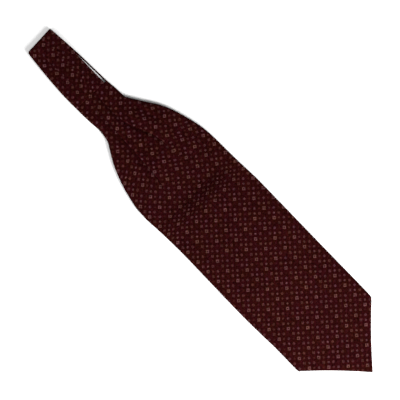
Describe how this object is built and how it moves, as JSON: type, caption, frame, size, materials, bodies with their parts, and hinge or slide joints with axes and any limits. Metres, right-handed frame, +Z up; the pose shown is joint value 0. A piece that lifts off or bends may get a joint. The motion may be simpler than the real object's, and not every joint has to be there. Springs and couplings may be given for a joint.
{
  "type": "silk cravat",
  "caption": "Day cravat with a wide pointed blade, pleated where it meets a narrow neckband, folded in half and laid flat",
  "frame": {"origin": "middle of the flat underside", "axes": "+Y towards the fold turn of the neckband, -Y towards the pointed end, X across the blade, +Z up from the surface it lies on"},
  "size_m": [0.147, 0.6406, 0.0082],
  "materials": {
    "blade_silk": "printed silk twill with a soft sheen",
    "neckband_silk": "printed silk twill with a soft sheen",
    "under_silk": "printed silk twill with a soft sheen"
  },
  "bodies": {
    "root": {"blade_face": "blade_silk", "neckband": "neckband_silk", "under_layers": "under_silk"}
  },
  "joints": []
}
